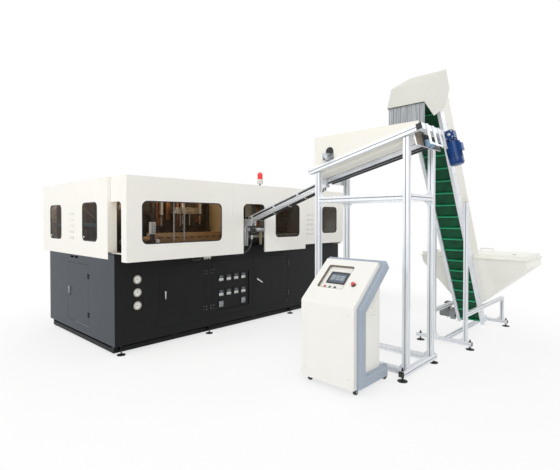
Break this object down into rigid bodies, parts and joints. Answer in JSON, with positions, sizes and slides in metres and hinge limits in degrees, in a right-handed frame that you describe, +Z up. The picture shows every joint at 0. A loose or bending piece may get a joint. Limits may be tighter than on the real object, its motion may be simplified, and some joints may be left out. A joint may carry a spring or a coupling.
{
  "type": "stretch blow moulding machine line",
  "caption": "Guarded stretch blow moulding machine on a dark base, fed by a preform sorter stand, an inclined hopper elevator and a rolling control console.",
  "frame": {"origin": "floor point under the machine's front left levelling foot", "axes": "+X along the machine's front to the right, +Y from the front to the back, +Z up"},
  "size_m": [4.741, 5.833, 3.2642],
  "materials": {
    "base_paint": "satin black powder coat with a fine orange peel",
    "end_paint": "satin slate grey powder coat",
    "guard_paint": "semi-gloss warm cream powder coat",
    "frame_steel": "semi-gloss cream paint on square tube",
    "zinc_steel": "bright zinc plated steel",
    "window": "bronze tinted clear sheet",
    "bezel": "moulded black instrument case",
    "beacon_red": "clear red moulded lens",
    "beacon_grey": "pale moulded plastic",
    "clamp_grey": "machined cast iron plates with a grey coat",
    "mould_steel": "ground tool steel",
    "track_cream": "cream enamel beam with bright holders",
    "profile": "natural anodised slotted profile",
    "sorter_sheet": "cream powder coated folded sheet",
    "roller_steel": "ground roller tube",
    "motor_blue": "blue enamel on finned castings",
    "motor_silver": "cast aluminium motor case",
    "wheel_black": "black rubber",
    "rail_steel": "bright stainless rails",
    "belt_green": "dark green belt with ribbed cleats",
    "cover_sheet": "cream powder coated sheet cover",
    "curtain_grey": "soft grey strip curtain",
    "gearmotor_grey": "grey enamel gear motor",
    "control_black": "black moulded box",
    "cable_grey": "grey cable sheath",
    "hose_black": "black ribbed hose",
    "foot_black": "black moulded foot with zinc plated stud and nuts",
    "console_cream": "semi-gloss warm cream powder coat",
    "console_trim": "pale blue grey powder coat",
    "screen": "dark operator screen with a grey bezel",
    "castor": "dark castor tread with a grey hub",
    "button_red": "glossy red button",
    "button_green": "glossy green button",
    "button_black": "glossy black button"
  },
  "bodies": {
    "line": {"base_frame": "base_paint", "lower_casing": "base_paint", "left_end_casing": "end_paint", "casing_hinges": "zinc_steel", "pressure_gauges": "bezel", "upper_frame": "frame_steel", "end_guard": "guard_paint", "feed_guard": "guard_paint", "rear_guards": "guard_paint", "roof_panels": "guard_paint", "guard_windows": "window", "beacon_base": "beacon_grey", "beacon_dome": "beacon_red", "clamp_frame": "clamp_grey", "preform_track": "track_cream", "heating_oven": "frame_steel", "stand_frame": "profile", "sorter_sheets": "sorter_sheet", "kicker_motor": "motor_silver", "roller_gearmotor": "motor_blue", "feed_chute": "rail_steel", "elevator_frame": "profile", "conveyor_belt": "belt_green", "belt_cover": "cover_sheet", "discharge_hood": "cover_sheet", "strip_curtain": "curtain_grey", "hopper": "cover_sheet", "hopper_lid": "cover_sheet", "tail_gearmotor": "gearmotor_grey", "control_box": "control_black", "levelling_feet": "foot_black", "drop_hose": "hose_black", "motor_cable": "cable_grey", "console_body": "console_cream", "console_frame": "console_trim", "console_screen": "screen"},
    "left_door": {"front_door_left": "base_paint"},
    "left_handle": {"left_door_handle": "zinc_steel"},
    "heater_panel": {"heater_panel_door": "base_paint", "temperature_controllers": "bezel"},
    "right_door": {"front_door_right": "base_paint"},
    "right_lever": {"right_door_lever": "zinc_steel"},
    "end_panel": {"end_door": "end_paint"},
    "end_handle": {"end_door_handle": "zinc_steel"},
    "guard_door": {"front_guard_door": "guard_paint", "guard_door_window": "window"},
    "platen_left": {"clamp_platen_left": "mould_steel"},
    "platen_right": {"clamp_platen_right": "mould_steel"},
    "carriage": {"stretch_carriage": "mould_steel"},
    "roller_near": {"sorter_roller_near": "roller_steel"},
    "roller_far": {"sorter_roller_far": "roller_steel"},
    "kicker": {"kicker_wheel": "wheel_black"},
    "pulley_tail": {"tail_pulley": "roller_steel"},
    "pulley_head": {"head_pulley": "roller_steel"},
    "front_wheels": {"console_front_wheels": "castor"},
    "rear_wheels": {"console_rear_wheels": "castor"},
    "button_stop": {"stop_button": "button_red"},
    "button_start": {"start_button": "button_green"},
    "button_mode": {"mode_button": "button_black"},
    "stop_head": {"emergency_stop": "button_red"}
  },
  "joints": [
    {"name": "left_door_hinge", "type": "hinge", "parent": "line", "child": "left_door", "pos_m": [1.1785, -0.056, 0.6275], "axis": [0, 0, 1], "range_deg": [0, 90]},
    {"name": "left_handle_turn", "type": "hinge", "parent": "left_door", "child": "left_handle", "pos_m": [0.554, -0.05, 0.682], "axis": [0, -1, 0], "range_deg": [0, 90]},
    {"name": "heater_panel_hinge", "type": "hinge", "parent": "line", "child": "heater_panel", "pos_m": [1.2955, -0.056, 0.6275], "axis": [0, 0, -1], "range_deg": [0, 90]},
    {"name": "right_door_hinge", "type": "hinge", "parent": "line", "child": "right_door", "pos_m": [2.8665, -0.056, 0.6275], "axis": [0, 0, 1], "range_deg": [0, 95]},
    {"name": "right_lever_turn", "type": "hinge", "parent": "right_door", "child": "right_lever", "pos_m": [2.155, -0.05, 0.682], "axis": [0, -1, 0], "range_deg": [-60, 30]},
    {"name": "end_panel_hinge", "type": "hinge", "parent": "line", "child": "end_panel", "pos_m": [-0.109, 0.6835, 0.6275], "axis": [0, 0, 1], "range_deg": [0, 95]},
    {"name": "end_handle_turn", "type": "hinge", "parent": "end_panel", "child": "end_handle", "pos_m": [-0.103, 1.288, 0.682], "axis": [-1, 0, 0], "range_deg": [0, 90]},
    {"name": "guard_door_hinge", "type": "hinge", "parent": "line", "child": "guard_door", "pos_m": [0.698, -0.28, 2.096], "axis": [-1, 0, 0], "range_deg": [0, 75]},
    {"name": "platen_left_slide", "type": "slide", "parent": "line", "child": "platen_left", "axis": [1, 0, 0], "range_m": [0, 0.118]},
    {"name": "platen_right_slide", "type": "slide", "parent": "line", "child": "platen_right", "axis": [-1, 0, 0], "range_m": [0, 0.118]},
    {"name": "stretch_slide", "type": "slide", "parent": "line", "child": "carriage", "axis": [0, 0, 1], "range_m": [-0.12, 0.12]},
    {"name": "roller_near_spin", "type": "hinge", "parent": "line", "child": "roller_near", "pos_m": [1.852, -2.25919, 2.2236], "axis": [0, -0.9713, 0.2377], "continuous": true},
    {"name": "roller_far_spin", "type": "hinge", "parent": "line", "child": "roller_far", "pos_m": [1.942, -2.25919, 2.2236], "axis": [0, -0.9713, 0.2377], "continuous": true},
    {"name": "kicker_spin", "type": "hinge", "parent": "line", "child": "kicker", "pos_m": [1.64062, -1.858, 2.3185], "axis": [1, 0, 0], "continuous": true},
    {"name": "tail_pulley_spin", "type": "hinge", "parent": "line", "child": "pulley_tail", "pos_m": [3.837, -2.6735, 0.24], "axis": [0, 1, 0], "continuous": true},
    {"name": "head_pulley_spin", "type": "hinge", "parent": "line", "child": "pulley_head", "pos_m": [2.231, -2.6735, 3.02167], "axis": [0, 1, 0], "continuous": true},
    {"name": "front_wheels_spin", "type": "hinge", "parent": "line", "child": "front_wheels", "pos_m": [0.955, -2.3615, 0.03], "axis": [0, 1, 0], "continuous": true},
    {"name": "rear_wheels_spin", "type": "hinge", "parent": "line", "child": "rear_wheels", "pos_m": [1.478, -2.3615, 0.048], "axis": [0, 1, 0], "continuous": true},
    {"name": "stop_button_push", "type": "slide", "parent": "line", "child": "button_stop", "axis": [0.6561, 0, -0.7547], "range_m": [0, 0.004], "stiffness_N_per_m": 250},
    {"name": "start_button_push", "type": "slide", "parent": "line", "child": "button_start", "axis": [0.6561, 0, -0.7547], "range_m": [0, 0.004], "stiffness_N_per_m": 250},
    {"name": "mode_button_push", "type": "slide", "parent": "line", "child": "button_mode", "axis": [0.6561, 0, -0.7547], "range_m": [0, 0.004], "stiffness_N_per_m": 250},
    {"name": "stop_head_push", "type": "slide", "parent": "line", "child": "stop_head", "axis": [0.6561, 0, -0.7547], "range_m": [0, 0.006], "stiffness_N_per_m": 600}
  ],
  "couplings": [
    {"joint": "platen_right_slide", "follows": "platen_left_slide", "ratio": 1},
    {"joint": "roller_far_spin", "follows": "roller_near_spin", "ratio": -1},
    {"joint": "head_pulley_spin", "follows": "tail_pulley_spin", "ratio": 1}
  ]
}
